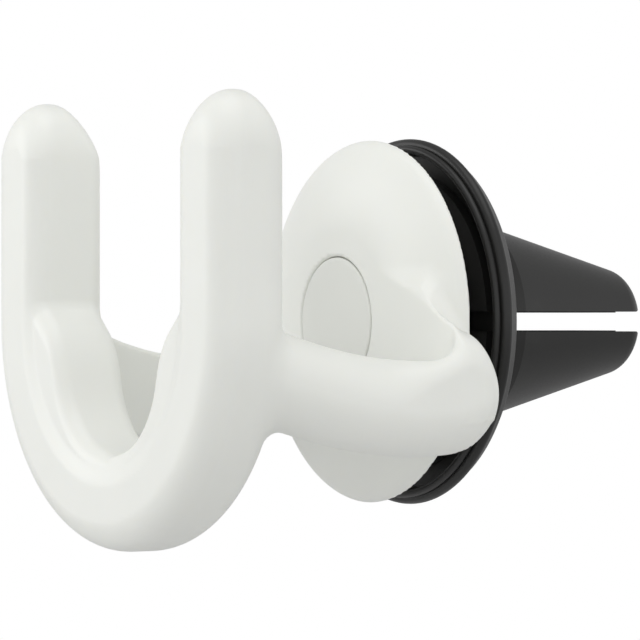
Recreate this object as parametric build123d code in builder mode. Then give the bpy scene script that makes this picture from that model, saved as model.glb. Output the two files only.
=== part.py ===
from build123d import *
from math import cos, degrees, radians, sin, sqrt
import os

# A phone-grip hook on a clip for a car's air vent. Millimetres, +Z up, +Y into the vent.
# The origin is on the clip's axis, in the plane where the clip's stop face meets the vent.
os.makedirs("parts", exist_ok=True)

# ---------------------------------------------------------------- driving dimensions
running = 0.05  # radial clearance of a part that turns or slides in another
moving_gap = 0.1  # axial clearance between parts that move past each other

# fork: the upright U that the grip's neck drops into
fork_front = -41.7
fork_depth = 9.4
fork_back = fork_front + fork_depth
fork_radius = 24.4
prong_inner = 15.2
prong_top = 23.9
fork_edge = 2.2

# grip seat: the inner step of the fork, which holds a 20 mm neck
seat_front = fork_front + 0.5
seat_radius = 10.0
seat_centre = -4.0
seat_shoulder = -3.0
seat_top = 2.6

# dome: the shallow disc behind the fork
dome_front = -12.2
dome_back = -7.7
dome_face_radius = 15.4
dome_radius = 20.0
dome_wall = 2.6
dome_boss_radius = 10.0

# face cap, and the recess it sits in
cap_radius = 7.0
cap_thickness = 0.6
cap_gap = 0.08

# arms: the two bowed straps that join the fork to the dome, seen from above
arm_top = -3.3
arm_height = 10.7
arm_outer = 26.4  # furthest reach of the outer side
arm_inner = 20.6  # leaves room for a 40 mm grip head
arm_back = -7.1
arm_elbow = 3.2
arm_straight = -16.0  # where the bow towards the fork begins
arm_inner_elbow = 2.2
arm_thickness = 5.0  # where it joins the dome
arm_root = fork_front + 5.0
arm_edge = 2.0
arm_splay = 2.2  # half the arm's width where it enters the fork
arm_end_inset = 2.0  # how far inside the dome's face edge the arm ends
gusset_top = (14.0, 5.2)  # the web above each arm runs from here on the dome's side
gusset_foot = (22.0, -1.4)  # to here on the arm
gusset_inset = 0.1  # behind the arm's front side, and twice that in front of the dome's back

# ball joint between the hook and the clip
ball_centre = -7.5
ball_radius = 2.9
neck_radius = 1.6
socket_radius = 6.0
socket_bore = 4.4
socket_lip = 2.75
socket_back = ball_centre + 1.9
socket_flange_radius = 6.9
seat_split = 0.5  # half the gap between the two ball seats
seat_reach = 1.4  # how far behind the ball's centre the rear seat goes
plug_thickness = 0.8
plug_slot = 0.8
spring_thickness = 0.35

# clip: clamp ring, jaws and carrier
ring_back = -1.1
ring_front = -4.2
ring_radius = 20.1
ring_wall_inner = 18.2
front_bead = (18.95, -3.75, 0.45)  # radius of its centre, depth of its centre, radius of the bead
main_bead = (19.45, -2.85, 0.65)
web_front = -2.1
web_back = -1.3
web_bore = 12.45
carrier_front = -1.2
carrier_radius = 16.0
window_radius = 11.5
spoke_half = 1.8
spoke_back = -0.4
hub_boss_radius = 3.6
hub_boss_back = 2.0
post_offset = 7.4
post_radius = 1.3
flange_front = -3.2
flange_back = -2.2
flange_radius = 16.2
retainer_radius = 9.6
retainer_thickness = 0.7

# jaws: half cones that squeeze a vent blade
jaw_gap = 2.0  # between the liners, at rest
liner_thickness = 0.5
liner_proud = 0.1
jaw_root_radius = 11.0
jaw_root_end = 5.5
jaw_slope = 15.6
jaw_tip = 25.6
jaw_tip_rounding = 2.8
jaw_lip_rounding = 1.5  # where a blade slides in
jaw_flat = jaw_gap / 2 + liner_proud
jaw_close = 0.5
jaw_open = 1.0
neck_flat = 3.0  # height of the jaw's underside where it passes the spokes
block_radius = 10.3
jaw_back_of_spokes = 0.4
boss_room = 4.6
boss_room_end = 3.2
post_room = 2.1
liner_start = 4.0
liner_end = 22.6
liner_inset = 1.4
liner_corner = 2.0

# spiral cams: one turn of the ring from closed to open moves each jaw by its whole travel
cam_closed = -40.0
cam_open = 80.0
cam_rate = (jaw_open + jaw_close) / (cam_open - cam_closed)  # mm for each degree
cam_radius = 14.6
cam_overrun = 1.5  # degrees past each end
pin_radius = 0.9
cam_points = 9

# swivel stud and its bush
shank_radius = 1.75
bush_radius = 2.5
shoulder_radius = 3.3
shoulder_thickness = 0.6
clip_radius = 3.2
clip_thickness = 0.5
clip_groove = 1.3
stud_tail = 0.6


# ---------------------------------------------------------------- helpers
def upright(depth):
    """An upright plane at this depth. An extrusion from it comes towards the user, along -Y."""
    return Plane.XZ.offset(-depth)


def turned(*corners):
    """A solid turned about the Y axis, from (radius, depth) corners."""
    with BuildPart() as piece:
        with BuildSketch(Plane.XY):
            with BuildLine():
                Polyline(*corners, close=True)
            make_face()
        revolve(axis=Axis.Y)
    return piece


def washer(outer, inner, front, back):
    """A flat ring about the Y axis."""
    return turned((inner, front), (outer, front), (outer, back), (inner, back))


def cam_point(turn, offset, side):
    """A point of a cam slot's wall: where the pin's wall is when the ring has turned this far."""
    reach = cam_radius + cam_rate * turn + offset
    return (-side * reach * sin(radians(turn)), side * reach * cos(radians(turn)))


# ---------------------------------------------------------------- hook: one moulding, in four simple pieces
tip_radius = (fork_radius - prong_inner) / 2
prong_middle = (fork_radius + prong_inner) / 2
arm_end_reach = dome_face_radius - arm_end_inset
arm_low = arm_top - arm_height
gusset_back = dome_back - 2 * gusset_inset
gusset_front = arm_back - arm_thickness + gusset_inset

with BuildPart() as arm:
    with BuildSketch(Plane.XY.offset(arm_low)):
        with BuildLine():
            outer_side = TangentArc(
                (arm_outer, arm_straight), (prong_middle + arm_splay, arm_root), tangent=(0, -1)
            )
            straight = Line(outer_side @ 0, (arm_outer, arm_back - arm_elbow))
            elbow = RadiusArc(straight @ 1, (arm_outer - arm_elbow, arm_back), -arm_elbow)
            back_side = Line(elbow @ 1, (arm_end_reach, arm_back))
            arm_end = Line(back_side @ 1, (arm_end_reach, arm_back - arm_thickness))
            front_side = Line(arm_end @ 1, (arm_inner - arm_inner_elbow, arm_back - arm_thickness))
            inner_elbow = RadiusArc(
                front_side @ 1, (arm_inner, arm_back - arm_thickness - arm_inner_elbow), arm_inner_elbow
            )
            inner_straight = Line(inner_elbow @ 1, (arm_inner, arm_straight))
            inner_side = TangentArc(
                inner_straight @ 1, (prong_middle - arm_splay, arm_root), tangent=(0, -1)
            )
            Line(inner_side @ 1, outer_side @ 1)
        make_face()
    extrude(amount=arm_height)
    fillet(arm.faces().filter_by(Axis.Z).edges(), radius=arm_edge)
    # the web that carries the load up the dome's side
    with BuildSketch(upright(gusset_back)):
        with BuildLine():
            Polyline(
                (arm_end_reach, gusset_top[1]),
                gusset_top,
                gusset_foot,
                (gusset_foot[0], arm_top - arm_edge),
                (arm_end_reach, arm_top - arm_edge),
                close=True,
            )
        make_face()
    extrude(amount=gusset_back - gusset_front)

with BuildPart() as hook_fork:
    # the U, with round tips and soft edges
    with BuildSketch(upright(fork_back)):
        with BuildLine():
            left_side = Line((-fork_radius, 0), (-fork_radius, prong_top - tip_radius))
            left_tip = ThreePointArc(
                left_side @ 1, (-prong_middle, prong_top), (-prong_inner, prong_top - tip_radius)
            )
            left_inner = Line(left_tip @ 1, (-prong_inner, 0))
            inner_arc = ThreePointArc(left_inner @ 1, (0, -prong_inner), (prong_inner, 0))
            right_inner = Line(inner_arc @ 1, (prong_inner, prong_top - tip_radius))
            right_tip = ThreePointArc(
                right_inner @ 1, (prong_middle, prong_top), (fork_radius, prong_top - tip_radius)
            )
            right_side = Line(right_tip @ 1, (fork_radius, 0))
            ThreePointArc(right_side @ 1, (0, -fork_radius), left_side @ 0)
        make_face()
    extrude(amount=fork_depth)
    fork_ends = hook_fork.faces().filter_by(Axis.Y)
    fillet(fork_ends.edges(), radius=fork_edge)

    # the grip seat, whose shoulders fade into the prongs
    with BuildSketch(upright(fork_back)):
        with BuildLine():
            right_fade = Spline(
                (prong_inner + 1, seat_top),
                (seat_radius, seat_shoulder),
                tangents=((-1, -0.35), (0, -1)),
            )
            wall = Line(right_fade @ 1, (seat_radius, seat_centre))
            cradle = ThreePointArc(
                wall @ 1, (0, seat_centre - seat_radius), (-seat_radius, seat_centre)
            )
            left_wall = Line(cradle @ 1, (-seat_radius, seat_shoulder))
            left_fade = Spline(
                left_wall @ 1,
                (-prong_inner - 1, seat_top),
                tangents=((0, 1), (-1, 0.35)),
            )
            ThreePointArc(left_fade @ 1, (0, -prong_inner - 2), right_fade @ 0)
        make_face()
    extrude(amount=fork_back - seat_front)

# the dome's outside, before it is hollowed
with BuildPart() as dome_blank:
    with BuildSketch(Plane.XY):
        with BuildLine():
            face = Line((0, dome_front), (dome_face_radius - 0.6, dome_front))
            soft_edge = Bezier(
                face @ 1, (dome_face_radius + 0.2, dome_front), (dome_face_radius + 0.9, dome_front + 0.7)
            )
            side = ThreePointArc(
                soft_edge @ 1, (dome_radius - 1.9, dome_front + 2.3), (dome_radius, dome_back - 0.6)
            )
            rim = Line(side @ 1, (dome_radius, dome_back))
            Polyline(rim @ 1, (0, dome_back), face @ 0)
        make_face()
    revolve(axis=Axis.Y)

# the hollow behind the dome's rim, which the arms' ends stay clear of too
dome_hollow = turned(
    (dome_boss_radius, arm_back + 1),
    (dome_boss_radius, dome_front + dome_wall),
    (dome_face_radius - 1.0, dome_front + dome_wall),
    (dome_radius - dome_wall, dome_back),
    (dome_radius - dome_wall, arm_back + 1),
)

with BuildPart() as hook_dome:
    add(dome_blank.part)
    add(dome_hollow.part, mode=Mode.SUBTRACT)
    # recess for the face cap, counterbore for the socket's flange and washer, and the bore
    flange_seat = dome_front + cap_thickness + 0.05
    washer_seat = flange_seat + 1.0
    with BuildSketch(upright(flange_seat)):
        Circle(cap_radius + cap_gap)
    extrude(amount=cap_thickness + 1, mode=Mode.SUBTRACT)
    with BuildSketch(upright(washer_seat)):
        Circle(socket_flange_radius + running)
    extrude(amount=washer_seat - flange_seat, mode=Mode.SUBTRACT)
    with BuildSketch(upright(dome_back)):
        Circle(socket_radius + running)
    extrude(amount=dome_back - washer_seat, mode=Mode.SUBTRACT)

with BuildPart() as hook_arm_right:
    add(arm.part)
    for neighbour in (hook_fork, dome_blank, dome_hollow):
        add(neighbour.part, mode=Mode.SUBTRACT)

with BuildPart() as hook_arm_left:
    add(mirror(hook_arm_right.part, about=Plane.YZ, mode=Mode.PRIVATE))

face_cap = turned(
    (0, dome_front),
    (cap_radius - 0.25, dome_front),
    (cap_radius, dome_front + 0.25),
    (cap_radius, dome_front + cap_thickness),
    (0, dome_front + cap_thickness),
)

# ---------------------------------------------------------------- ball socket, inside the dome
socket_front = flange_seat + 0.05
socket_flange_back = socket_front + 0.6
circlip_front = dome_back + moving_gap
circlip_back = circlip_front + 0.5
lip_front = ball_centre + seat_reach

socket_cup = turned(
    (socket_flange_radius, socket_front),
    (socket_flange_radius, socket_flange_back),
    (socket_radius, socket_flange_back),
    (socket_radius, circlip_front),
    (socket_radius - 0.6, circlip_front),
    (socket_radius - 0.6, circlip_back),
    (socket_radius, circlip_back),
    (socket_radius, socket_back - 0.5),
    (socket_radius - 0.5, socket_back),
    (socket_lip, socket_back),
    (socket_lip, lip_front),
    (socket_bore, lip_front),
    (socket_bore, socket_front),
)
friction_washer = washer(
    socket_flange_radius, socket_radius + running, socket_flange_back, washer_seat - moving_gap / 2
)

# a spring clip in the cup's groove, with a gap to open it by
with BuildPart() as socket_circlip:
    with BuildSketch(upright(circlip_back)):
        Circle(socket_radius + 0.9)
        Circle(socket_radius - 0.6, mode=Mode.SUBTRACT)
        with Locations((0, -socket_radius)):
            Rectangle(3.0, 5.0, mode=Mode.SUBTRACT)
    extrude(amount=circlip_back - circlip_front)

seat_sphere = ball_radius + running
plug_back = socket_front + plug_thickness
spring_back = plug_back + spring_thickness


def ball_seat(front, back):
    """A nylon ring around the ball, between these depths."""
    inner_front = sqrt(seat_sphere**2 - (front - ball_centre) ** 2)
    inner_back = sqrt(seat_sphere**2 - (back - ball_centre) ** 2)
    middle = (front + back) / 2
    inner_middle = sqrt(seat_sphere**2 - (middle - ball_centre) ** 2)
    with BuildPart() as seat:
        with BuildSketch(Plane.XY):
            with BuildLine():
                outside = Polyline(
                    (inner_front, front), (socket_bore, front), (socket_bore, back), (inner_back, back)
                )
                ThreePointArc(outside @ 1, (inner_middle, middle), outside @ 0)
            make_face()
        revolve(axis=Axis.Y)
    return seat


front_ball_seat = ball_seat(spring_back, ball_centre - seat_split)
rear_ball_seat = ball_seat(ball_centre + seat_split, lip_front)

seat_spring = washer(socket_bore, socket_bore - 1.3, plug_back, spring_back)

with BuildPart() as seat_plug:
    with BuildSketch(upright(plug_back)):
        Circle(socket_bore)
    extrude(amount=plug_thickness)
    with BuildSketch(upright(plug_back - plug_thickness / 2)):
        Rectangle(2 * socket_bore - 2, plug_slot)
    extrude(amount=plug_thickness / 2, mode=Mode.SUBTRACT)

# ---------------------------------------------------------------- swivel stud
retainer_back = flange_front - moving_gap
retainer_front = retainer_back - retainer_thickness
shoulder_back = retainer_front - running
shoulder_front = shoulder_back - shoulder_thickness
neck_start = ball_centre + sqrt(ball_radius**2 - neck_radius**2)
clip_front = hub_boss_back + running
clip_back = clip_front + clip_thickness
stud_end = clip_back + stud_tail

with BuildPart() as ball_stud:
    with BuildSketch(Plane.XY):
        with BuildLine():
            ball = ThreePointArc(
                (0, ball_centre - ball_radius), (ball_radius, ball_centre), (neck_radius, neck_start)
            )
            Polyline(
                ball @ 1,
                (neck_radius, shoulder_front),
                (shoulder_radius, shoulder_front),
                (shoulder_radius, shoulder_back),
                (shank_radius, shoulder_back),
                (shank_radius, clip_front),
                (clip_groove, clip_front),
                (clip_groove, clip_back),
                (shank_radius, clip_back),
                (shank_radius, stud_end - 0.3),
                (shank_radius - 0.3, stud_end),
                (0, stud_end),
                ball @ 0,
            )
        make_face()
    revolve(axis=Axis.Y)

with BuildPart() as stud_clip:
    with BuildSketch(upright(clip_back)):
        Circle(clip_radius)
        Circle(clip_groove, mode=Mode.SUBTRACT)
        with Locations((0, -clip_radius)):
            Rectangle(2 * clip_groove - 0.6, 2 * clip_radius, mode=Mode.SUBTRACT)
    extrude(amount=clip_thickness)

# ---------------------------------------------------------------- clamp ring
with BuildPart() as clamp_ring:
    # the rim: two beads with a groove between, and a cone down to the back edge
    with BuildSketch(Plane.XY):
        with BuildLine():
            Polyline(
                (ring_wall_inner + 0.4, ring_front + 0.3),
                (front_bead[0], front_bead[1]),
                (main_bead[0] - 0.2, main_bead[1] - 0.5),
                (main_bead[0], main_bead[1]),
                (ring_radius - 0.25, main_bead[1] + 0.45),
                (ring_radius - 1.0, ring_back - 0.25),
                (ring_radius - 1.3, ring_back),
                (window_radius + 5.0, ring_back),
                (window_radius + 5.0, web_back),
                (web_bore, web_back),
                (web_bore, web_front),
                (ring_wall_inner, web_front),
                close=True,
            )
        make_face()
        for bead_radius, bead_depth, bead_size in (front_bead, main_bead):
            with Locations((bead_radius, bead_depth)):
                Circle(bead_size)
    revolve(axis=Axis.Y)

    # the two spiral cams
    for cam_side in (1, -1):
        turns = [
            cam_closed - cam_overrun + i * (cam_open - cam_closed + 2 * cam_overrun) / (cam_points - 1)
            for i in range(cam_points)
        ]
        slot_half = pin_radius + running
        with BuildSketch(upright(web_back)):
            with BuildLine():
                outer_wall = Spline(*[cam_point(t, slot_half, cam_side) for t in turns])
                inner_wall = Spline(*[cam_point(t, -slot_half, cam_side) for t in reversed(turns)])
                bulge = degrees(slot_half / cam_radius)
                ThreePointArc(
                    outer_wall @ 1, cam_point(turns[-1] + bulge, 0, cam_side), inner_wall @ 0
                )
                ThreePointArc(
                    inner_wall @ 1, cam_point(turns[0] - bulge, 0, cam_side), outer_wall @ 0
                )
            make_face()
        extrude(amount=web_back - web_front, mode=Mode.SUBTRACT)

# ---------------------------------------------------------------- carrier
with BuildPart() as carrier_plate:
    with BuildSketch(upright(0)):
        Circle(carrier_radius)
        Circle(window_radius, mode=Mode.SUBTRACT)
    extrude(amount=-carrier_front)
    chamfer(carrier_plate.edges().filter_by(GeomType.CIRCLE).group_by(Axis.Y)[-1], 0.25)
    # the collar that the ring turns on
    with BuildSketch(upright(carrier_front)):
        Circle(web_bore - running)
        Circle(window_radius, mode=Mode.SUBTRACT)
    extrude(amount=carrier_front - web_front - running)
    # spokes and posts between the jaws, and the boss for the stud
    with BuildSketch(upright(spoke_back)):
        Rectangle(2 * window_radius + 1, 2 * spoke_half)
    extrude(amount=spoke_back - carrier_front)
    with BuildSketch(upright(spoke_back)):
        with Locations((post_offset, 0), (-post_offset, 0)):
            Circle(post_radius)
    extrude(amount=spoke_back - retainer_back)
    with BuildSketch(upright(hub_boss_back)):
        Circle(hub_boss_radius)
    extrude(amount=hub_boss_back - retainer_back)
    with BuildSketch(upright(hub_boss_back)):
        Circle(bush_radius)
        with Locations((post_offset, 0), (-post_offset, 0)):
            Circle(post_radius / 2)
    extrude(amount=hub_boss_back - retainer_back, mode=Mode.SUBTRACT)

stud_bush = washer(bush_radius, shank_radius + running, retainer_back, hub_boss_back)

screw_head_radius = 1.2
screw_head_depth = 0.4
with BuildPart() as hub_retainer:
    with BuildSketch(upright(retainer_back)):
        Circle(retainer_radius)
        Circle(shank_radius + 2 * running, mode=Mode.SUBTRACT)
        with Locations((post_offset, 0), (-post_offset, 0)):
            Circle(post_radius / 2, mode=Mode.SUBTRACT)
    extrude(amount=retainer_thickness)
    with BuildSketch(upright(retainer_front + screw_head_depth)):
        with Locations((post_offset, 0), (-post_offset, 0)):
            Circle(screw_head_radius)
    extrude(amount=screw_head_depth, mode=Mode.SUBTRACT)

with BuildPart() as retainer_screws:
    with BuildSketch(upright(retainer_front + screw_head_depth)):
        with Locations((post_offset, 0), (-post_offset, 0)):
            Circle(screw_head_radius)
    extrude(amount=screw_head_depth)
    with BuildSketch(upright(spoke_back)):
        with Locations((post_offset, 0), (-post_offset, 0)):
            Circle(post_radius / 2)
    extrude(amount=spoke_back - retainer_front - screw_head_depth)
    with BuildSketch(upright(retainer_front + screw_head_depth / 2)):
        with Locations((post_offset, 0), (-post_offset, 0)):
            Rectangle(2 * screw_head_radius, 0.4)
    extrude(amount=screw_head_depth / 2, mode=Mode.SUBTRACT)

# ---------------------------------------------------------------- jaws
slope = radians(jaw_slope)
tip_angle = radians(90 - jaw_slope)
# the tip's rounding touches the cone and the flat end
tip_centre_depth = jaw_tip - jaw_tip_rounding
cone_normal = (cos(slope), sin(slope))
cone_start = (jaw_root_radius, jaw_root_end)
tip_centre_radius = (
    jaw_root_radius
    - jaw_tip_rounding / cos(slope)
    - (tip_centre_depth - jaw_root_end) * sin(slope) / cos(slope)
)
tip_touch = (
    tip_centre_radius + jaw_tip_rounding * cone_normal[0],
    tip_centre_depth + jaw_tip_rounding * cone_normal[1],
)
tip_middle_angle = (slope + radians(90)) / 2
tip_middle = (
    tip_centre_radius + jaw_tip_rounding * cos(tip_middle_angle),
    tip_centre_depth + jaw_tip_rounding * sin(tip_middle_angle),
)


def cone_width(depth):
    """Half the width of a jaw's flat face at this depth."""
    radius = jaw_root_radius - max(0, depth - jaw_root_end) * sin(slope) / cos(slope)
    return sqrt(radius**2 - jaw_flat**2)


# the liner's outline, on a jaw's flat face
liner_root = cone_width(jaw_root_end) - liner_inset
liner_tip = cone_width(liner_end) - liner_inset
with BuildSketch(Plane.XY) as liner_outline:
    with BuildLine():
        Polyline(
            (-liner_root, liner_start),
            (liner_root, liner_start),
            (liner_root, jaw_root_end),
            (liner_tip, liner_end),
            (-liner_tip, liner_end),
            (-liner_root, jaw_root_end),
            close=True,
        )
    make_face()
    fillet(liner_outline.vertices().group_by(Axis.Y)[-1], radius=liner_corner)


def make_jaw(up):
    """One jaw, above the axis for up = 1 and below it for up = -1."""
    with BuildPart() as jaw:
        # the half flange that the cam moves
        with BuildSketch(upright(flange_back)):
            Circle(flange_radius)
        extrude(amount=flange_back - flange_front)
        # the block through the carrier's window
        with BuildSketch(upright(jaw_back_of_spokes)):
            Circle(block_radius)
        extrude(amount=jaw_back_of_spokes - flange_back)
        # the cone
        with BuildSketch(Plane.XY):
            with BuildLine():
                root = Polyline((0, jaw_back_of_spokes), (jaw_root_radius, jaw_back_of_spokes), cone_start)
                cone = Line(root @ 1, tip_touch)
                tip = ThreePointArc(cone @ 1, tip_middle, (tip_centre_radius, jaw_tip))
                Polyline(tip @ 1, (0, jaw_tip), root @ 0)
            make_face()
        revolve(axis=Axis.Y)
        # room for the spokes, the boss with its clip, and the posts
        with BuildSketch(upright(jaw_back_of_spokes)):
            Rectangle(4 * flange_radius, 2 * neck_flat)
        extrude(amount=jaw_back_of_spokes - flange_back, mode=Mode.SUBTRACT)
        with BuildSketch(upright(boss_room_end)):
            Circle(boss_room)
        extrude(amount=boss_room_end - flange_front, mode=Mode.SUBTRACT)
        with BuildSketch(upright(jaw_back_of_spokes)):
            with Locations((post_offset, 0), (-post_offset, 0)):
                Circle(post_room)
        extrude(amount=jaw_back_of_spokes - flange_front, mode=Mode.SUBTRACT)
        # keep one side of the axis, with a round lip at the tip
        with BuildSketch(Plane.YZ):
            with BuildLine():
                level = Polyline(
                    (flange_front, -up * flange_radius),
                    (flange_front, up * jaw_flat),
                    (jaw_tip - jaw_lip_rounding, up * jaw_flat),
                )
                lip = RadiusArc(
                    level @ 1, (jaw_tip, up * (jaw_flat + jaw_lip_rounding)), -up * jaw_lip_rounding
                )
                Polyline(
                    lip @ 1,
                    (jaw_tip + 1, up * (jaw_flat + jaw_lip_rounding)),
                    (jaw_tip + 1, -up * flange_radius),
                    level @ 0,
                )
            make_face()
        extrude(amount=flange_radius, both=True, mode=Mode.SUBTRACT)
        # the pocket for the liner
        with BuildSketch(Plane.XY.offset(up * jaw_flat)):
            add(liner_outline.sketch)
        extrude(amount=up * (liner_thickness - liner_proud), mode=Mode.SUBTRACT)
        # the hole for the follower pin
        with BuildSketch(upright(flange_back)):
            with Locations((0, up * cam_radius)):
                Circle(pin_radius)
        extrude(amount=flange_back - flange_front, mode=Mode.SUBTRACT)
    return jaw


def make_pin(up):
    """The steel pin that follows the ring's cam."""
    with BuildPart() as pin:
        with BuildSketch(upright(web_back)):
            with Locations((0, up * cam_radius)):
                Circle(pin_radius)
        extrude(amount=web_back - flange_front)
    return pin


def make_liner(up):
    """The rubber strip let into a jaw's flat face."""
    with BuildPart() as liner:
        with BuildSketch(Plane.XY.offset(up * jaw_gap / 2)):
            add(liner_outline.sketch)
        extrude(amount=up * liner_thickness)
    return liner


jaw_upper = make_jaw(1)
jaw_lower = make_jaw(-1)
cam_pin_upper = make_pin(1)
cam_pin_lower = make_pin(-1)
jaw_liner_upper = make_liner(1)
jaw_liner_lower = make_liner(-1)

# ---------------------------------------------------------------- files
pieces = {
    "hook_fork": hook_fork,
    "hook_dome": hook_dome,
    "hook_arm_right": hook_arm_right,
    "hook_arm_left": hook_arm_left,
    "face_cap": face_cap,
    "socket_cup": socket_cup,
    "friction_washer": friction_washer,
    "socket_circlip": socket_circlip,
    "front_ball_seat": front_ball_seat,
    "rear_ball_seat": rear_ball_seat,
    "seat_spring": seat_spring,
    "seat_plug": seat_plug,
    "ball_stud": ball_stud,
    "stud_clip": stud_clip,
    "clamp_ring": clamp_ring,
    "carrier_plate": carrier_plate,
    "stud_bush": stud_bush,
    "hub_retainer": hub_retainer,
    "retainer_screws": retainer_screws,
    "jaw_upper": jaw_upper,
    "jaw_lower": jaw_lower,
    "cam_pin_upper": cam_pin_upper,
    "cam_pin_lower": cam_pin_lower,
    "jaw_liner_upper": jaw_liner_upper,
    "jaw_liner_lower": jaw_liner_lower,
}
for name, piece in pieces.items():
    piece.part.label = name
    export_step(piece.part, f"parts/{name}.step")
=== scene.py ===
import math

import bpy
import numpy as np
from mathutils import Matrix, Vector


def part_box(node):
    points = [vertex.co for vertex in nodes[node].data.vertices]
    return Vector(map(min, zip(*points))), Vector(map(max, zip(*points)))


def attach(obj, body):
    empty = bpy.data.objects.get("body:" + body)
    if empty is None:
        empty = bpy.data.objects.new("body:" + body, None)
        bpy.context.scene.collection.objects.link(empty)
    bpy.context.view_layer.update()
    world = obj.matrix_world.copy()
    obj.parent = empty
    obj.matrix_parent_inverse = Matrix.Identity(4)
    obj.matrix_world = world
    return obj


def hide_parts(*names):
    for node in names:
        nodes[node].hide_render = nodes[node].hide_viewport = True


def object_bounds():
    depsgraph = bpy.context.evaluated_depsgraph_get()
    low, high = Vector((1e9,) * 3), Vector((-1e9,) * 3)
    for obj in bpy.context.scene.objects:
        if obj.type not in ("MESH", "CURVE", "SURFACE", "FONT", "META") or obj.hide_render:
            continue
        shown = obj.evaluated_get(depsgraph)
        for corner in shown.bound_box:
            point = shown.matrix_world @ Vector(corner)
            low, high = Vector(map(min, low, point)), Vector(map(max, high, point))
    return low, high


# A phone-grip hook on an air-vent clip. The moulded hook and its cap are modelled here round the
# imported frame; every other part is the frame's own mesh with a material of its own.
# Lengths are worked out in millimetres and go to Blender in metres.
MM = 0.001

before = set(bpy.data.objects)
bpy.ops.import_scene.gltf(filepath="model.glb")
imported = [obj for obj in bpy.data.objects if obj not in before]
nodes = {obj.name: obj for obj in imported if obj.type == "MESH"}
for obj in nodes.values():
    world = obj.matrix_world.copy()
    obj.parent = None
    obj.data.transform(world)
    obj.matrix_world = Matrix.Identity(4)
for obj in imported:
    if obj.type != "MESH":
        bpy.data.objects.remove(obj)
cad_low, cad_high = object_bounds()


def span(node, axis):
    """The lowest and highest place of a CAD node along an axis, in millimetres."""
    low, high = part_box(node)
    return low["XYZ".index(axis)] / MM, high["XYZ".index(axis)] / MM


# ---------------------------------------------------------------- sizes of the hook, from the frame
hook_front, fork_back = span("hook_fork", "Y")
hook_back = span("hook_arm_right", "Y")[1]
hook_bottom, hook_top = span("hook_fork", "Z")
arm_reach = span("hook_arm_right", "X")[1]
dome_radius = span("hook_dome", "X")[1]
dome_back = span("hook_dome", "Y")[1]
cap_front = span("face_cap", "Y")[0]
cap_radius = span("face_cap", "X")[1]
socket_front = span("socket_cup", "Y")[0]
flange_radius = span("socket_cup", "X")[1]

running = 0.05  # clearance round the socket
cap_gap = 0.1  # and round the cap
counterbore_depth = 1.0  # behind the floor of the cap's recess
bore_radius = 6.0
opening_edge = 0.3  # rounding of the openings' edges

# fork
fork_radius = -hook_bottom
prong_half = 4.6
tip_length = 6.0
line_radius = fork_radius - prong_half
tip_height = hook_top - tip_length
tip_lean = 1.5  # how far the tips' back leans forward at the top
lean_start = 8.0  # below the top
fork_depth = fork_back - hook_front
fork_middle = (hook_front + fork_back) / 2
front_edges = {"inner": 2.4, "outer": 3.2, "top": 4.4}  # rounding of the section's corners
back_edges = {"inner": 2.0, "outer": 3.8, "top": 4.5}

# seat for the grip's neck
seat_step = 0.5
seat_radius = 10.0
seat_centre = -4.0
shoulder_middle = (13.1, -0.2)
shoulder_lean = math.radians(42)
shoulder_rounding = 3.0
seat_front_rounding = 1.8
seat_back_inset = 0.4  # how far the step's back stands in front of the fork's
seat_fillet = 0.5  # where the step meets the fork
seat_back_rounding = 2.0

# dome
dome_face_radius = 15.4
rim_band = 0.6  # how far the dome's side stops ahead of its back
rim_depth = dome_back - rim_band
face_rounding = 3.5
web_edge = 0.5  # the face's edge where it runs out into the webs
sharp_offset = 4.2  # it is that sharp round a height this far above the arms' middle
web_heights = (6.5, 11.0)  # between these distances from that height it grows to the face's
rim_rounding = 0.8
rim_back_rounding = 0.5
dome_wall = 2.6
boss_radius = 10.0
hollow_inset = 1.0  # how far the hollow's floor stands in from the edge of the face
hollow_margin = 1.0  # how far the hollow runs on behind the arms

# arms
arm_straight = -16.0
arm_inner = 20.6
arm_root = -36.3
outer_bow = 52.3  # radius of the bow towards the fork
inner_bow = 75.0
elbow_rounding = 3.2
inner_elbow_rounding = 2.4
root_fillets = (2.0, 1.3)  # where the arms meet the fork, at their bottoms and tops
dome_fillets = (0.4, 2.5)  # where they meet the dome, the same
fillet_heights = (-12.0, -6.0)  # between these heights both fillets change from the first to the second
arm_edge = 5.0  # rounding of the outer long edges
elbow_edge = 2.2  # the same at the elbow's inner corner
elbow_back_edge = 6.2  # and at its back
back_margin = 1.0  # it grows between places this far ahead of the dome's face and of the back
arm_top = (-4.1, 0.04, 0.0128)  # height, and how it climbs with the distance ahead of the rise
arm_bottom = (-14.35, 0.045, 0.011)  # the same for its underside
arm_middle = (arm_top[0] + arm_bottom[0]) / 2
rise_start = -17.0  # from here the arm climbs towards the fork
elbow_lift = (-16.3, -8.9)  # over these depths the arm grows upwards into the elbow
elbow_growth = 2.6
elbow_tuck = 0.5  # how much its underside rises there
inner_tuck = 3.5  # how much more it rises inwards, under the dome
tuck_reach = (20.6, 15.4)  # from none at the first distance from the middle to all of it at the second
elbow_lean = 4.4  # how far the inner side leans outwards at the top of the elbow
lean_heights = (-8.0, -2.5)  # it leans from none to all of that between these heights
lean_depths = (-21.0, -15.0)  # and these depths
web_centre = (26.5, 12.5)  # the web's top is hollowed to an arc about here
web_radius = 13.0
web_fall = 0.8  # how steeply its top falls towards the back
web_front = 0.3  # how far it stands in front of the dome's face beside the arm
web_inset = 1.6  # how far its outer side stands in from the arm's
web_edge_rounding = 2.6  # between that side and its top
web_fillet = 1.8  # where it meets the arm
web_limit = 4.0  # the web ends inside the dome below this height


# ---------------------------------------------------------------- distance fields
def union(a, b, rounding):
    """Both shapes, with a fillet of this radius where they meet."""
    near = np.hypot(np.maximum(rounding - a, 0), np.maximum(rounding - b, 0))
    return np.maximum(rounding, np.minimum(a, b)) - near


def common(a, b, rounding):
    """What is in both shapes, with its edge rounded to this radius."""
    return -union(-a, -b, rounding)


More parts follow.
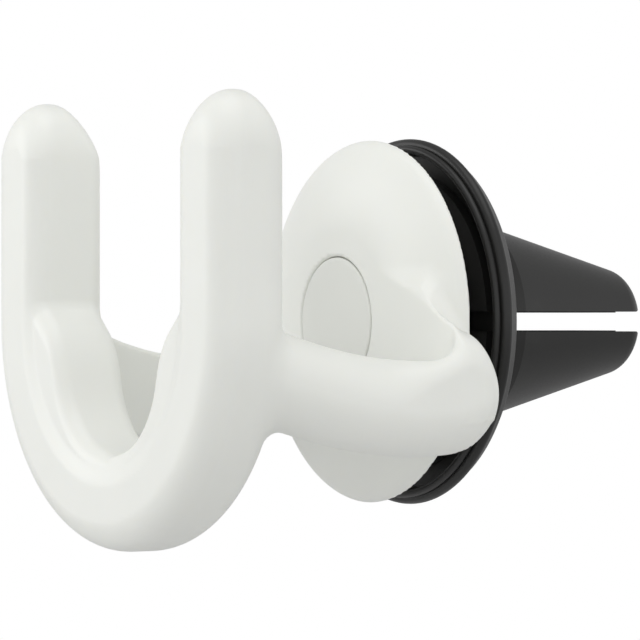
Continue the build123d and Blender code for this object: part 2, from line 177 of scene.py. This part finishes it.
def smooth_step(value, start, end):
    """From 0 at the start to 1 at the end, with no corner at either."""
    t = np.clip((value - start) / (end - start), 0, 1)
    return t * t * (3 - 2 * t)


def between(start, end, share):
    """The value this share of the way from the start to the end."""
    return start + (end - start) * share


def line(u, v, start, end):
    """Distance from the straight line through two points, positive on its left."""
    along = (end[0] - start[0], end[1] - start[1])
    length = math.hypot(*along)
    return ((v - start[1]) * along[0] - (u - start[0]) * along[1]) / length


def fork(x, y, z):
    """The U: a rounded box section carried round the U's centre line."""
    lean = tip_lean * np.clip((z - hook_top + lean_start) / lean_start, 0, 1) ** 2
    y = y + lean * np.clip((y - fork_middle) / (fork_depth / 2), 0, 1)
    across = np.abs(x) - line_radius
    rise = (z - tip_height) * prong_half / tip_length
    to_tip = np.hypot(across, rise)
    from_line = np.where(z < 0, np.hypot(x, z) - line_radius, across)
    at_tip = rise > 0
    reach = np.where(at_tip, to_tip, np.abs(from_line))
    outward = np.where(at_tip, (1 + across / np.maximum(to_tip, 0.001)) / 2, from_line > 0)
    upward = np.where(at_tip, rise / np.maximum(to_tip, 0.001), 0)

    def corner(edges):
        return between(between(edges["inner"], edges["outer"], outward), edges["top"], upward)

    rounding = np.where(y < fork_middle, corner(front_edges), corner(back_edges))
    past_side = reach - prong_half + rounding
    past_end = np.abs(y - fork_middle) - fork_depth / 2 + rounding
    outside = np.hypot(np.maximum(past_side, 0), np.maximum(past_end, 0))
    return np.minimum(np.maximum(past_side, past_end), 0) + outside - rounding


def seat(x, y, z):
    """The step inside the U, open at the top for the grip's neck."""
    across = np.abs(x)
    slot = np.hypot(across, np.minimum(z - seat_centre, 0)) - seat_radius
    shoulder = (z - shoulder_middle[1]) * math.cos(shoulder_lean) - (
        across - shoulder_middle[0]
    ) * math.sin(shoulder_lean)
    within = np.where(z < 0, np.hypot(x, z), across) - line_radius
    step = common(-slot, shoulder, shoulder_rounding)
    front = common(step, hook_front + seat_step - y, seat_front_rounding)
    back = common(front, y - fork_back + seat_back_inset, seat_back_rounding)
    return np.maximum(back, within)


def dish(x, y, z):
    """The dome's side and rim, without its flat face."""
    radius = np.hypot(x, z)
    cone = line(radius, y, (dome_radius, rim_depth), (dome_face_radius, cap_front))
    rim = common(cone, radius - dome_radius, rim_rounding)
    return common(rim, y - dome_back, rim_back_rounding)


def bowed(across, depth, reach, bow):
    """Distance from an arm's side, which runs straight and then bows in towards the fork."""
    curved = np.hypot(across - reach + bow, depth - arm_straight) - bow
    return np.where(depth > arm_straight, across - reach, curved)


def at_elbow(y):
    """From 0 along the arm to 1 at the elbow's inner corner, and back to 0 at its back."""
    return smooth_step(y, *lean_depths) * (1 - smooth_step(y, cap_front, hook_back))


def climb(base, slope, curve, ahead):
    """A height that climbs with the distance ahead."""
    return base + slope * ahead + curve * ahead**2


def bars(x, y, z):
    """The arms' outsides, filled inwards, each with a web that runs up the dome's side."""
    across = np.abs(x)
    outside = common(bowed(across, y, arm_reach, outer_bow), y - hook_back, elbow_rounding)
    ahead = np.maximum(rise_start - y, 0)
    top = climb(*arm_top, ahead) + elbow_growth * smooth_step(y, *elbow_lift)
    bottom = climb(*arm_bottom, ahead) + elbow_tuck * smooth_step(y, *elbow_lift)
    bottom = bottom + inner_tuck * smooth_step(y, *lean_depths) * smooth_step(across, *tuck_reach)
    to_back = smooth_step(y, cap_front - back_margin, hook_back - back_margin)
    edge = between(arm_edge, elbow_back_edge, to_back)
    above = z - (top + bottom) / 2
    edge = np.where(above > 0, edge + (elbow_edge - arm_edge) * at_elbow(y), edge)
    bar = common(outside, np.abs(above) - (top - bottom) / 2, edge)
    fall = web_fall * (y - cap_front)
    web_top = web_radius - np.hypot(across - web_centre[0], z - web_centre[1] + fall)
    web = common(outside + web_inset, web_top, web_edge_rounding)
    web = common(web, cap_front - web_front - y, 2 * web_front)
    web = np.maximum(np.maximum(web, arm_middle - z), z - web_limit)
    return np.maximum(union(bar, web, web_fillet), arm_root - y)


def room(x, y, z):
    """The space for the grip's head, in front of the dome's face and between the arms."""
    across = np.abs(x) - elbow_lean * smooth_step(z, *lean_heights) * at_elbow(y)
    return common(bowed(across, y, arm_inner, inner_bow), y - cap_front, inner_elbow_rounding)


def openings(x, y, z):
    """The cap's recess, the socket's bore and the hollow behind the dome's rim."""
    radius = np.hypot(x, z)
    recess_floor = socket_front - running
    recess = np.maximum(radius - cap_radius - cap_gap, y - recess_floor)
    counterbore = np.maximum(radius - flange_radius - running, y - recess_floor - counterbore_depth)
    bore = radius - bore_radius - running
    rim_corner = (dome_radius - dome_wall, dome_back)
    floor_corner = (dome_face_radius - hollow_inset, cap_front + dome_wall)
    slope = line(radius, y, rim_corner, floor_corner)
    hollow = np.maximum(np.maximum(boss_radius - radius, floor_corner[1] - y), slope)
    hollow = np.maximum(hollow, radius - rim_corner[0])
    hollow = np.maximum(hollow, y - hook_back - hollow_margin)
    return np.minimum(np.minimum(recess, counterbore), np.minimum(bore, hollow))


def hook(x, y, z):
    """The whole moulding."""
    upper = smooth_step(z, *fillet_heights)
    rear = union(bars(x, y, z), dish(x, y, z), between(*dome_fillets, upper))
    from_web = np.abs(z - arm_middle - sharp_offset)
    edge = between(web_edge, face_rounding, smooth_step(from_web, *web_heights))
    rear = common(rear, -room(x, y, z), edge)
    stem = union(fork(x, y, z), seat(x, y, z), seat_fillet)
    whole = union(rear, stem, between(*root_fillets, upper))
    return common(whole, -openings(x, y, z), opening_edge)


# ---------------------------------------------------------------- a mesh from a field
def slopes(field, points):
    """The field's gradient at these points."""
    small = 0.01
    columns = []
    for axis in range(3):
        ahead, behind = points.copy(), points.copy()
        ahead[:, axis] += small
        behind[:, axis] -= small
        columns.append((field(*ahead.T) - field(*behind.T)) / (2 * small))
    return np.stack(columns, axis=1)


def steps(low, high, step):
    """Evenly spaced places from low to high, about this far apart."""
    return np.linspace(low, high, int(round((high - low) / step)) + 1)


def field_mesh(name, field, axes):
    """A mesh of the field's zero level, with a point in each grid cell that it crosses."""
    values = field(*np.meshgrid(*axes, indexing="ij"))
    solid = values < 0
    cells = tuple(len(a) - 1 for a in axes)
    total = np.zeros((*cells, 3))
    hits = np.zeros(cells)
    edges = []
    for axis in range(3):
        lower = [slice(None)] * 3
        upper = [slice(None)] * 3
        lower[axis], upper[axis] = slice(0, -1), slice(1, None)
        start, end = values[tuple(lower)], values[tuple(upper)]
        place = np.argwhere(solid[tuple(lower)] != solid[tuple(upper)])
        first, second = start[tuple(place.T)], end[tuple(place.T)]
        point = place.astype(float)
        point[:, axis] += first / (first - second)
        u, v = (axis + 1) % 3, (axis + 2) % 3
        off_start = (place[:, u] > 0) & (place[:, v] > 0)
        inner = off_start & (place[:, u] < cells[u]) & (place[:, v] < cells[v])
        place, point, first = place[inner], point[inner], first[inner]
        around = []
        for du, dv in ((0, 0), (-1, 0), (-1, -1), (0, -1)):
            cell = place.copy()
            cell[:, u] += du
            cell[:, v] += dv
            np.add.at(total, tuple(cell.T), point)
            np.add.at(hits, tuple(cell.T), 1)
            around.append(cell)
        edges.append((around, first < 0))
    used = hits > 0
    number = np.full(cells, -1)
    number[used] = np.arange(used.sum())
    places = total[used] / hits[used][:, None]
    points = np.stack([np.interp(p, np.arange(len(a)), a) for p, a in zip(places.T, axes)], axis=1)
    quads = []
    for around, outward in edges:
        quad = np.stack([number[tuple(c.T)] for c in around], axis=1)
        quads.append(np.where(outward[:, None], quad, quad[:, ::-1]))
    quads = np.concatenate(quads)
    # Each point is moved onto the surface, a little at a time.
    passes, longest_move, least_square, nothing = 4, 0.2, 0.05, 1e-9
    for _ in range(passes):
        slope = slopes(field, points)
        square = np.maximum((slope**2).sum(1), least_square)
        move = slope * (field(*points.T) / square)[:, None]
        length = np.linalg.norm(move, axis=1, keepdims=True)
        points -= move * np.minimum(1, longest_move / np.maximum(length, nothing))
    made = new_mesh(name, points, quads.tolist())
    slope = slopes(field, points)
    slope /= np.linalg.norm(slope, axis=1, keepdims=True)
    made.data.normals_split_custom_set_from_vertices(slope.tolist())
    return made


def new_mesh(name, points, faces):
    """A smooth object from points in millimetres."""
    mesh = bpy.data.meshes.new(name)
    mesh.from_pydata((np.asarray(points) * MM).tolist(), [], faces)
    mesh.validate()
    mesh.polygons.foreach_set("use_smooth", [True] * len(mesh.polygons))
    made = bpy.data.objects.new(name, mesh)
    bpy.context.collection.objects.link(made)
    return made


def lathe(name, profile, sides):
    """A closed shape turned about the Y axis, from (radius, depth) points that start and end on it."""
    points, faces, rings = [], [], []
    for radius, depth in profile:
        if radius == 0:
            rings.append([len(points)])
            points.append((0, depth, 0))
            continue
        rings.append(list(range(len(points), len(points) + sides)))
        for i in range(sides):
            angle = 2 * math.pi * i / sides
            points.append((radius * math.cos(angle), depth, radius * math.sin(angle)))
    for near, far in zip(rings, rings[1:]):
        for i in range(sides):
            j = (i + 1) % sides
            corners = [near[i % len(near)], near[j % len(near)], far[j % len(far)], far[i % len(far)]]
            faces.append(list(dict.fromkeys(corners)))
    return new_mesh(name, points, faces)


# ---------------------------------------------------------------- materials
noise_range = (0.3, 0.7)  # most of a noise texture's values lie between these
drift_size = 9.0  # of the patches in the colour
bump_height = 0.02
unevenness = 0.08  # the share by which the roughness varies
scatter_reach = 0.6  # how far light spreads under the white plastic's surface


def plastic(name, colour, roughness, grain=0.0, grain_size=0.25, tone=0.0, specular=0.5, subsurface=0.0):
    """A moulded plastic: fine grain in its roughness and surface, and a faint drift in its colour."""
    material = bpy.data.materials.new(name)
    material.use_nodes = True
    tree = material.node_tree
    shader = tree.nodes["Principled BSDF"]
    shader.inputs["Specular IOR Level"].default_value = specular
    if subsurface:
        shader.inputs["Subsurface Weight"].default_value = subsurface
        shader.inputs["Subsurface Radius"].default_value = (1.0, 0.9, 0.7)
        shader.inputs["Subsurface Scale"].default_value = scatter_reach * MM
    place = tree.nodes.new("ShaderNodeTexCoord")

    def noise(size, detail):
        node = tree.nodes.new("ShaderNodeTexNoise")
        node.inputs["Scale"].default_value = 1 / (size * MM)
        node.inputs["Detail"].default_value = detail
        tree.links.new(place.outputs["Object"], node.inputs["Vector"])
        return node.outputs["Fac"]

    def spread(value, low, high):
        node = tree.nodes.new("ShaderNodeMapRange")
        node.inputs["From Min"].default_value = noise_range[0]
        node.inputs["From Max"].default_value = noise_range[1]
        node.inputs["To Min"].default_value = low
        node.inputs["To Max"].default_value = high
        tree.links.new(value, node.inputs["Value"])
        return node.outputs["Result"]

    drift = tree.nodes.new("ShaderNodeMix")
    drift.data_type = "RGBA"
    drift.inputs["A"].default_value = [c * (1 - tone) for c in colour] + [1]
    drift.inputs["B"].default_value = [min(1, c * (1 + tone)) for c in colour] + [1]
    tree.links.new(spread(noise(drift_size, 3), 0, 1), drift.inputs["Factor"])
    tree.links.new(drift.outputs["Result"], shader.inputs["Base Color"])
    fine = noise(grain_size, 4)
    uneven = spread(fine, roughness * (1 - unevenness), roughness * (1 + unevenness))
    tree.links.new(uneven, shader.inputs["Roughness"])
    if grain:
        bump = tree.nodes.new("ShaderNodeBump")
        bump.inputs["Strength"].default_value = grain
        bump.inputs["Distance"].default_value = bump_height * MM
        tree.links.new(fine, bump.inputs["Height"])
        tree.links.new(bump.outputs["Normal"], shader.inputs["Normal"])
    return material


def metal(name, colour, roughness):
    """A plated or sprung steel, with fine scratches in its roughness."""
    material = plastic(name, colour, roughness, grain=0.1, grain_size=0.3, tone=0.04)
    material.node_tree.nodes["Principled BSDF"].inputs["Metallic"].default_value = 1.0
    return material


white = plastic("satin_white_moulding", (0.80, 0.81, 0.77), 0.42, grain=0.15, tone=0.01, subsurface=0.15)
white_cap = plastic("satin_white_cap", (0.74, 0.75, 0.71), 0.5, grain=0.3, tone=0.01)
black = plastic("satin_black_moulding", (0.012, 0.012, 0.0115), 0.38, grain=0.2, tone=0.06, specular=0.35)
rubber = plastic("black_rubber", (0.012, 0.012, 0.012), 0.75, grain=0.6, tone=0.1, specular=0.3)
plated = metal("plated_steel", (0.62, 0.62, 0.60), 0.28)
sprung = metal("spring_steel", (0.34, 0.33, 0.31), 0.35)
nylon = plastic("natural_nylon", (0.70, 0.67, 0.58), 0.45, grain=0.2, tone=0.02)

looks = {
    "hook_fork": white,
    "hook_dome": white,
    "hook_arm_right": white,
    "hook_arm_left": white,
    "face_cap": white_cap,
    "socket_cup": black,
    "friction_washer": nylon,
    "socket_circlip": sprung,
    "front_ball_seat": nylon,
    "rear_ball_seat": nylon,
    "seat_spring": sprung,
    "seat_plug": black,
    "ball_stud": plated,
    "stud_clip": sprung,
    "clamp_ring": black,
    "carrier_plate": black,
    "stud_bush": nylon,
    "hub_retainer": black,
    "retainer_screws": plated,
    "jaw_upper": black,
    "jaw_lower": black,
    "cam_pin_upper": plated,
    "cam_pin_lower": plated,
    "jaw_liner_upper": rubber,
    "jaw_liner_lower": rubber,
}
for name, look in looks.items():
    nodes[name].data.materials.clear()
    nodes[name].data.materials.append(look)

# ---------------------------------------------------------------- the hook and its cap
coarse, fine_face, fine_rim = 0.4, 0.28, 0.25  # grid steps, smaller at the dome's face and rim
margin = 1.0  # of the grid round the hook
side = steps(0, arm_reach + margin, coarse)
across_grid = np.concatenate([-side[:0:-1], side])
face_start, face_end = cap_front - 0.6, cap_front + 0.8
rim_start, rim_end = dome_back - 1.2, hook_back + 0.6
# The stretches share their ends, which unique keeps once.
depth_grid = np.unique(
    np.concatenate(
        [
            steps(hook_front - margin, face_start, coarse),
            steps(face_start, face_end, fine_face),
            steps(face_end, rim_start, coarse),
            steps(rim_start, rim_end, fine_rim),
        ]
    ).round(4)
)
height_grid = steps(hook_bottom - margin, hook_top + margin, coarse)
hook_shell = field_mesh("hook_shell", hook, (across_grid, depth_grid, height_grid))
hook_shell.data.materials.append(white)
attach(hook_shell, "hook")
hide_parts("hook_fork", "hook_dome", "hook_arm_right", "hook_arm_left")

cap_back = span("face_cap", "Y")[1]
cap_edge = 0.2
cap_sides = 128
edge_radius, edge_depth = cap_radius - cap_edge, cap_front + cap_edge
cap_profile = [(0, cap_front), (cap_radius - 3 * cap_edge, cap_front)]
for degrees in (90, 67.5, 45, 22.5, 0):
    a = math.radians(degrees)
    cap_profile.append((edge_radius + cap_edge * math.cos(a), edge_depth - cap_edge * math.sin(a)))
cap_profile += [(cap_radius, cap_back), (0, cap_back)]
cap_disc = lathe("cap_disc", cap_profile, cap_sides)
cap_disc.data.materials.append(white_cap)
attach(cap_disc, "hook")
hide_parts("face_cap")

# ---------------------------------------------------------------- floor, light and camera
floor_material = bpy.data.materials.new("pale_floor")
floor_material.use_nodes = True
floor_shader = floor_material.node_tree.nodes["Principled BSDF"]
floor_shader.inputs["Base Color"].default_value = (0.78, 0.78, 0.78, 1)
floor_shader.inputs["Roughness"].default_value = 0.9
floor_size = 6.0
floor_drop = 0.3
floor_mesh = bpy.data.meshes.new("floor")
corner = floor_size / 2
level = cad_low[2] - floor_drop
floor_mesh.from_pydata(
    [(-corner, -corner, level), (corner, -corner, level), (corner, corner, level), (-corner, corner, level)],
    [],
    [(0, 1, 2, 3)],
)
floor = bpy.data.objects.new("floor", floor_mesh)
floor.data.materials.append(floor_material)
bpy.context.collection.objects.link(floor)

# The room's light changes evenly with direction. The camera sees plain white.
room_level = 1.12
room_lean = (0.3, -0.09, -0.77)  # the way it grows, and by how much
world = bpy.data.worlds.new("studio")
world.use_nodes = True
bpy.context.scene.world = world
tree = world.node_tree
direction = tree.nodes.new("ShaderNodeTexCoord")
lean = tree.nodes.new("ShaderNodeVectorMath")
lean.operation = "DOT_PRODUCT"
lean.inputs[1].default_value = room_lean
tree.links.new(direction.outputs["Generated"], lean.inputs[0])
strength = tree.nodes.new("ShaderNodeMath")
strength.inputs[1].default_value = room_level
tree.links.new(lean.outputs["Value"], strength.inputs[0])
seen = tree.nodes.new("ShaderNodeLightPath")
choice = tree.nodes.new("ShaderNodeMix")
choice.inputs["B"].default_value = 1.0
tree.links.new(seen.outputs["Is Camera Ray"], choice.inputs["Factor"])
tree.links.new(strength.outputs["Value"], choice.inputs["A"])
tree.links.new(choice.outputs["Result"], tree.nodes["Background"].inputs["Strength"])
tree.nodes["Background"].inputs["Color"].default_value = (1, 1, 1, 1)

view_azimuth = math.radians(58)
look_at = Vector((-5.88, -10.51, 0.17)) * MM
view_distance = 508 * MM
view_back = Vector((math.sin(view_azimuth), -math.cos(view_azimuth), 0))
camera_data = bpy.data.cameras.new("camera")
camera_data.sensor_width = 36
camera_data.lens = 258.75
camera = bpy.data.objects.new("camera", camera_data)
camera.location = look_at + view_back * view_distance
camera.rotation_euler = (math.radians(90), 0, view_azimuth)
bpy.context.collection.objects.link(camera)
bpy.context.scene.camera = camera
bpy.context.scene.view_settings.view_transform = "Standard"


def soft_light(name, azimuth, elevation, distance, size, power):
    """A square light that faces the object from this azimuth and elevation, in degrees."""
    a, e = math.radians(azimuth), math.radians(elevation)
    data = bpy.data.lights.new(name, "AREA")
    data.size = size
    data.energy = power
    light = bpy.data.objects.new(name, data)
    away = Vector((math.sin(a) * math.cos(e), -math.cos(a) * math.cos(e), math.sin(e)))
    light.location = look_at + away * distance
    light.rotation_mode = "QUATERNION"
    light.rotation_quaternion = away.to_track_quat("Z", "Y")
    bpy.context.collection.objects.link(light)


soft_light("left", azimuth=-40, elevation=15, distance=0.6, size=0.4, power=1.06)
soft_light("top", azimuth=60, elevation=80, distance=0.6, size=0.5, power=1.29)
